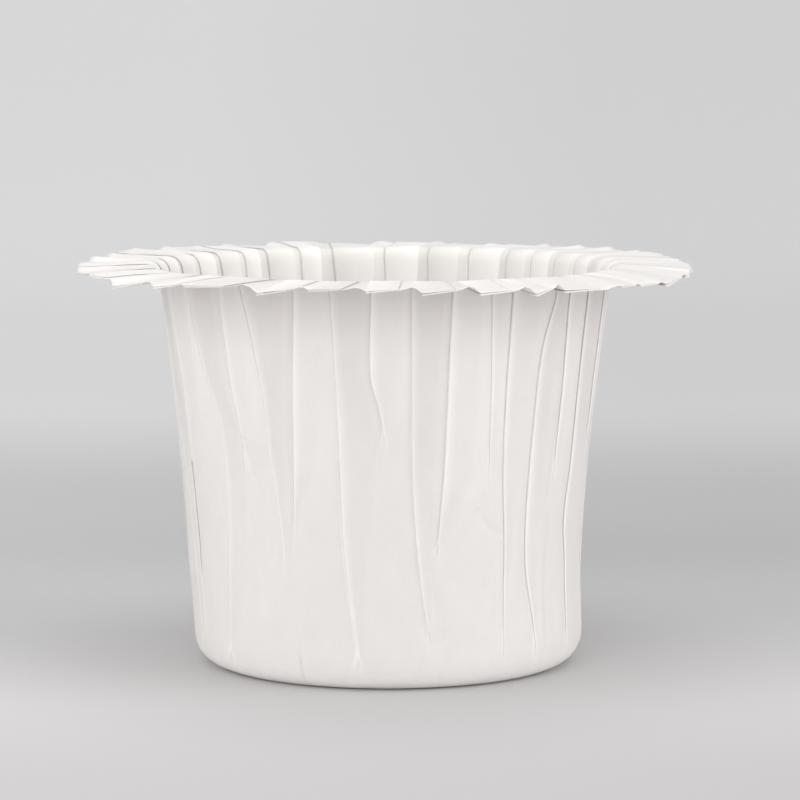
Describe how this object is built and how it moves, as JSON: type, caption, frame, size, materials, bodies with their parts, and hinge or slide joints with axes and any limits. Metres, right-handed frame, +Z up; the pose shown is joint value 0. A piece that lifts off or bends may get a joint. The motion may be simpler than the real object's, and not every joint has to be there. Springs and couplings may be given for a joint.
{
  "type": "pleated paper cupcake liner",
  "caption": "Round paper baking cup with a flat base, a flared wall of overlapping knife pleats and a flat pleated rim turned outwards.",
  "frame": {"origin": "centre of the base, on its underside, where the cup stands", "axes": "+Z up along the cup's axis towards the mouth; -Y faces the picture's viewer"},
  "size_m": [0.0803, 0.0804, 0.0528],
  "materials": {
    "greaseproof_paper": "matt white greaseproof paper"
  },
  "bodies": {
    "root": {"pleated_liner": "greaseproof_paper"}
  },
  "joints": []
}
